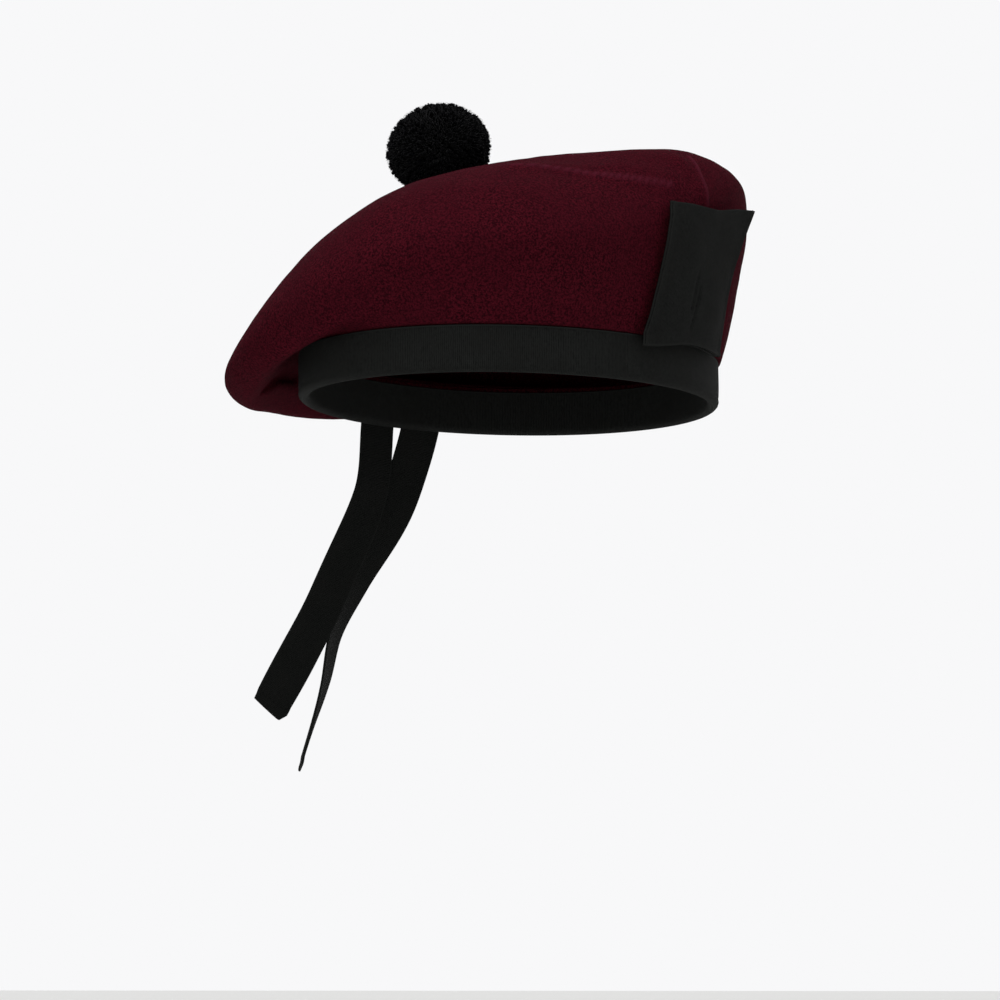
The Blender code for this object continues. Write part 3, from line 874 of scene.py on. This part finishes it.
# a round heart of matted yarn, so that nothing shows through between the cut ends
heart_rows = []
for k in range(HEART_ROWS + 1):
    tilt = math.pi * (0.002 + 0.996 * k / HEART_ROWS)
    ring = []
    for i in range(HEART_AROUND):
        angle = 2 * math.pi * i / HEART_AROUND
        level = math.sin(tilt)
        ring.append((level * math.cos(angle), level * math.sin(angle), -math.cos(tilt)))
    heart_rows.append(ring)
heart = np.array(heart_rows)
heart *= (HEART_RADIUS + HEART_UNEVEN * ripple(heart, 0.16, 1.0))[..., None]
heart = on_seat(heart + pompom_centre)
around = np.arange(HEART_AROUND + 1) / HEART_AROUND * 0.1
heart_flat = np.stack(np.meshgrid(around, np.arange(HEART_ROWS + 1) * 0.0015), axis=2)
pompom_core = cloth("pompom_core", heart, heart_flat, True, 0.0005, -1.0)
wool = cut_wool("black_wool_yarn_cut")
pompom_core.data.materials.append(wool)

tufts = spread(TUFT_COUNT)
ways = spread(YARN_COUNT) + chance.normal(0, 0.012, (YARN_COUNT, 3))
ways /= np.linalg.norm(ways, axis=1, keepdims=True)
nearest = np.argmax(ways @ tufts.T, axis=1)
tuft_length = chance.normal(0.985, 0.018, TUFT_COUNT)
tip_ways = ways * 0.62 + tufts[nearest] * 0.38 + chance.normal(0, 0.02, (YARN_COUNT, 3))
tip_ways /= np.linalg.norm(tip_ways, axis=1, keepdims=True)
lengths = (tuft_length[nearest] + chance.normal(0, 0.012, YARN_COUNT)) * POMPOM_RADIUS
paths = []
for share in YARN_STOPS:
    way = ways * (1 - share**1.5) + tip_ways * share**1.5
    way /= np.linalg.norm(way, axis=1, keepdims=True)
    reach = YARN_ROOT + (lengths - YARN_ROOT) * share
    paths.append(pompom_centre + way * reach[:, None])
paths = on_seat(np.stack(paths, axis=1))
thick = chance.uniform(0.85, 1.15, (YARN_COUNT, 1)) * YARN_RADII
pompom = strands("pompom_yarn", paths, thick, 5)
pompom.data.materials.append(wool)

# single fibres that have worked loose from the cut ends; real ones are a third as thick
ways = spread(FUZZ_COUNT) + chance.normal(0, 0.02, (FUZZ_COUNT, 3))
ways /= np.linalg.norm(ways, axis=1, keepdims=True)
lean = chance.normal(0, 1.0, (FUZZ_COUNT, 3))
lean -= ways * np.sum(lean * ways, axis=1, keepdims=True)
ends = chance.uniform(0.0003, 0.0010, (FUZZ_COUNT, 1))
base = pompom_centre + ways * POMPOM_RADIUS * 0.955
middle = pompom_centre + ways * (POMPOM_RADIUS * 0.985 + ends * 0.5) + lean * 0.00025
tips = pompom_centre + ways * (POMPOM_RADIUS * 0.99 + ends) + lean * 0.0007
paths = on_seat(np.stack([base, middle, tips], axis=1))
pompom_fuzz = strands("pompom_fuzz", paths, FUZZ_RADII, 3)
pompom_fuzz.data.materials.append(wool)
for piece in (pompom, pompom_core, pompom_fuzz):
    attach(piece, "root")
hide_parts("pompom")


# Tails
# The two ends of a narrow black ribbon, sewn onto the rim's ribbon behind the wearer's
# right ear. They hang free and swing out, one seen flat with a turned hem and slanted
# end, the other twisting until it is seen edge on.

TAIL_WIDTH = 0.020
TAIL_LENGTH = 0.150
TAIL_TUCK = 0.014
TAIL_GAP = 0.0007
TAIL_CUT = 0.003
TAIL_HEM = 0.0042
CORNER_CUT = 0.0040
CORNER_SHARE = 0.13
CUT_POWER = 12
FREE_FROM = 0.022
FREE_SPAN = 0.020
TAIL_CUP = 0.0006
TAIL_SWAY = 0.0005
HEM_RISE = 0.000175
HEM_SPREAD = 0.00025
TAIL_STEPS = 16
TAIL_ACROSS = 16
TAIL_COLUMNS = ("fall", "aside", "away", "twist")
TAIL_ROWS = {
    "tail_front": (
        (0.00, 0.000, 0.000, 0),
        (0.20, 0.010, 0.020, 2),
        (0.48, 0.070, 0.120, 12),
        (0.67, 0.135, 0.190, 13),
        (0.843, 0.205, 0.245, 9),
    ),
    "tail_back": (
        (0.00, 0.000, 0.000, 0),
        (0.22, 0.045, 0.060, 0),
        (0.45, 0.130, 0.140, -20),
        (0.60, 0.176, 0.185, -40),
        (0.74, 0.184, 0.220, -49),
        (0.86, 0.210, 0.240, -54),
        (1.00, 0.253, 0.260, -55),
    ),
}
TAIL_TURN = {"tail_front": 152.0, "tail_back": 137.0}


def rim_tangent(turn, outset):
    """The level unit vector along the oval at a turn, towards greater turns."""
    run = rim_point(turn + 0.5, outset) - rim_point(turn - 0.5, outset)
    return run / np.linalg.norm(run)


for name, stages in TAIL_ROWS.items():
    turn = TAIL_TURN[name]
    outset = BAND_OUTSET + TAIL_GAP + RIBBON_WALL / 2
    root = rim_point(turn, outset)
    along = rim_tangent(turn, outset)
    out = np.cross(along, (0.0, 0.0, 1.0))
    guides = [(*(root + (0, 0, TAIL_TUCK)), 0.0)]
    for values in stages:
        row = dict(zip(TAIL_COLUMNS, values))
        level = along * row["aside"] + out * row["away"]
        point = root + (level - np.array((0, 0, row["fall"]))) * TAIL_LENGTH
        guides.append((*point, row["twist"]))
    path = smooth_path(guides, TAIL_STEPS)
    spine = np.array([stop[:3] for stop in path])
    distance = np.append(0, np.cumsum(np.linalg.norm(np.diff(spine, axis=0), axis=1)))
    whole = distance[-1]
    points = np.zeros((len(path), TAIL_ACROSS + 1, 3))
    flat = np.zeros((len(path), TAIL_ACROSS + 1, 2))
    for index, stop in enumerate(path):
        before = path[max(index - 1, 0)]
        after = path[min(index + 1, len(path) - 1)]
        run = Vector((after - before)[:3]).normalized()
        across = Vector(along)
        across = (across - run * across.dot(run)).normalized()
        across = Quaternion(run, math.radians(stop[3])) @ across
        face = np.array(run.cross(across))
        free = min(max((distance[index] - FREE_FROM) / FREE_SPAN, 0.0), 1.0)
        left = whole - distance[index]
        for j in range(TAIL_ACROSS + 1):
            place = j / TAIL_ACROSS
            slant = TAIL_CUT * place + CORNER_CUT * max(0.0, 1 - place / CORNER_SHARE)
            slant *= (distance[index] / whole) ** CUT_POWER
            cup = TAIL_CUP * free * (1 - (2 * place - 1) ** 2)
            sway = TAIL_SWAY * free * math.sin(distance[index] * 90 + place * 1.5)
            hem = HEM_RISE * (1 - math.tanh((left - TAIL_HEM) / HEM_SPREAD))
            points[index, j] = (
                np.array(stop[:3])
                + np.array(across) * (place - 0.5) * TAIL_WIDTH
                - np.array(run) * slant
                + face * (cup + sway - hem)
            )
            flat[index, j] = (distance[index] - slant, place * TAIL_WIDTH)
    tail = cloth(name + "_ribbon", points, flat, False, RIBBON_WALL, 0.0)
    soften_edges(tail)
    tail.data.materials.append(woven_ribbon("grosgrain_" + name, TAIL_WIDTH, "#0f100f"))

    # a bar of stitches holds the top of the tail, and a row of them its hem
    stitches = []
    for row, size in ((3, 0.0016), (len(path) - 4, 0.0012)):
        for j in range(1, TAIL_ACROSS - 1, 2):
            start, end = points[row, j], points[row, j + 1]
            side = out if row == 3 else -face
            proud = RIBBON_WALL / 2 + 0.00015
            end = start + (end - start) * size / (TAIL_WIDTH / TAIL_ACROSS)
            stitched = stitch_path(start, end, side, STITCH_RISE)
            stitches.append([point + side * proud for point in stitched])
    thread = strands(name + "_stitches", stitches, THREAD_RADIUS, 6)
    thread.data.materials.append(thread_look)
    for piece in (tail, thread):
        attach(piece, "root")
    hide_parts(name)


# Floor, light and camera
# A plain pale floor of matt board under soft studio light from above, with a near white
# surround. The camera looks slightly up from the hat's front left, as in the photograph.

FLOOR_HEIGHT = -0.300
FLOOR_REACH = 30.0


def pale_board():
    """Pale matt board, rolled and uncoated. The eye gets a faint mottle and no gleam."""
    made, tree, shader = new_material("pale_board_rolled_uncoated")
    place = add(tree, "TexCoord").outputs["Object"]
    mm = add(tree, "VectorMath", {"operation": "SCALE", "Scale": 1000.0}, {0: place}).outputs[0]
    cloudy = add(tree, "TexNoise", {"Scale": 0.02, "Detail": 4.0}, {"Vector": mm}).outputs[0]
    tooth = add(tree, "TexNoise", {"Scale": 1.2, "Detail": 3.0}, {"Vector": mm}).outputs[0]
    colour = add(
        tree,
        "Mix",
        {"data_type": "RGBA", 6: linear("#e3e3e1"), 7: linear("#eaeae8")},
        {0: cloudy},
    ).outputs[2]
    bump = add(tree, "Bump", {"Strength": 0.2, "Distance": 0.0002}, {"Height": tooth})
    tree.links.new(colour, shader.inputs["Base Color"])
    tree.links.new(bump.outputs[0], shader.inputs["Normal"])
    shader.inputs["Roughness"].default_value = 0.95
    shader.inputs["Specular IOR Level"].default_value = 0.1
    return made


mesh = bpy.data.meshes.new("floor")
corners = [(-FLOOR_REACH, -FLOOR_REACH, 0), (FLOOR_REACH, -FLOOR_REACH, 0)]
corners += [(FLOOR_REACH, FLOOR_REACH, 0), (-FLOOR_REACH, FLOOR_REACH, 0)]
mesh.from_pydata(corners, [], [(0, 1, 2, 3)])
floor = bpy.data.objects.new("floor", mesh)
floor.location = (0, 0, FLOOR_HEIGHT)
mesh.materials.append(pale_board())
bpy.context.scene.collection.objects.link(floor)

scene = bpy.context.scene
scene.view_settings.view_transform = "Standard"
surround = bpy.data.worlds.new("surround")
surround.use_nodes = True
surround.node_tree.nodes["Background"].inputs["Color"].default_value = linear("#f8f8f9")
surround.node_tree.nodes["Background"].inputs["Strength"].default_value = 1.0
scene.world = surround

# name, place, size and power of each lamp; all are aimed at the crown
LAMPS = (
    ("softbox_above", (0.05, -0.45, 1.25), 0.9, 15.0),
    ("softbox_front", (0.60, -1.30, 0.55), 0.8, 4.0),
)
for name, place, size, power in LAMPS:
    lamp = bpy.data.lights.new(name, "AREA")
    lamp.shape = "DISK"
    lamp.size = size
    lamp.energy = power
    holder = bpy.data.objects.new(name, lamp)
    holder.location = place
    aim = Vector((0.0, 0.0, 0.05)) - Vector(place)
    holder.rotation_euler = aim.to_track_quat("-Z", "Y").to_euler()
    scene.collection.objects.link(holder)

TURN_ASIDE = math.radians(22.0)
LOOK_UP = math.radians(-6.5)
VIEW_DISTANCE = 1.8
METRES_PER_PIXEL = 0.000424
RIM_AT = (510.0, 405.5)
flat_way = Vector((math.sin(TURN_ASIDE), -math.cos(TURN_ASIDE), 0.0))
toward = flat_way * math.cos(LOOK_UP) + Vector((0, 0, math.sin(LOOK_UP)))
right = Vector((math.cos(TURN_ASIDE), math.sin(TURN_ASIDE), 0.0))
upward = right.cross(-toward)
aim = right * ((500 - RIM_AT[0]) * METRES_PER_PIXEL)
aim += upward * ((RIM_AT[1] - 500) * METRES_PER_PIXEL)
lens = bpy.data.cameras.new("camera")
lens.sensor_width = 36.0
lens.lens = 36.0 * VIEW_DISTANCE / (1000 * METRES_PER_PIXEL)
lens.clip_end = 50.0
camera = bpy.data.objects.new("camera", lens)
facing = Matrix((right, upward, toward)).transposed().to_4x4()
camera.matrix_world = Matrix.Translation(aim + toward * VIEW_DISTANCE) @ facing
scene.collection.objects.link(camera)
scene.camera = camera
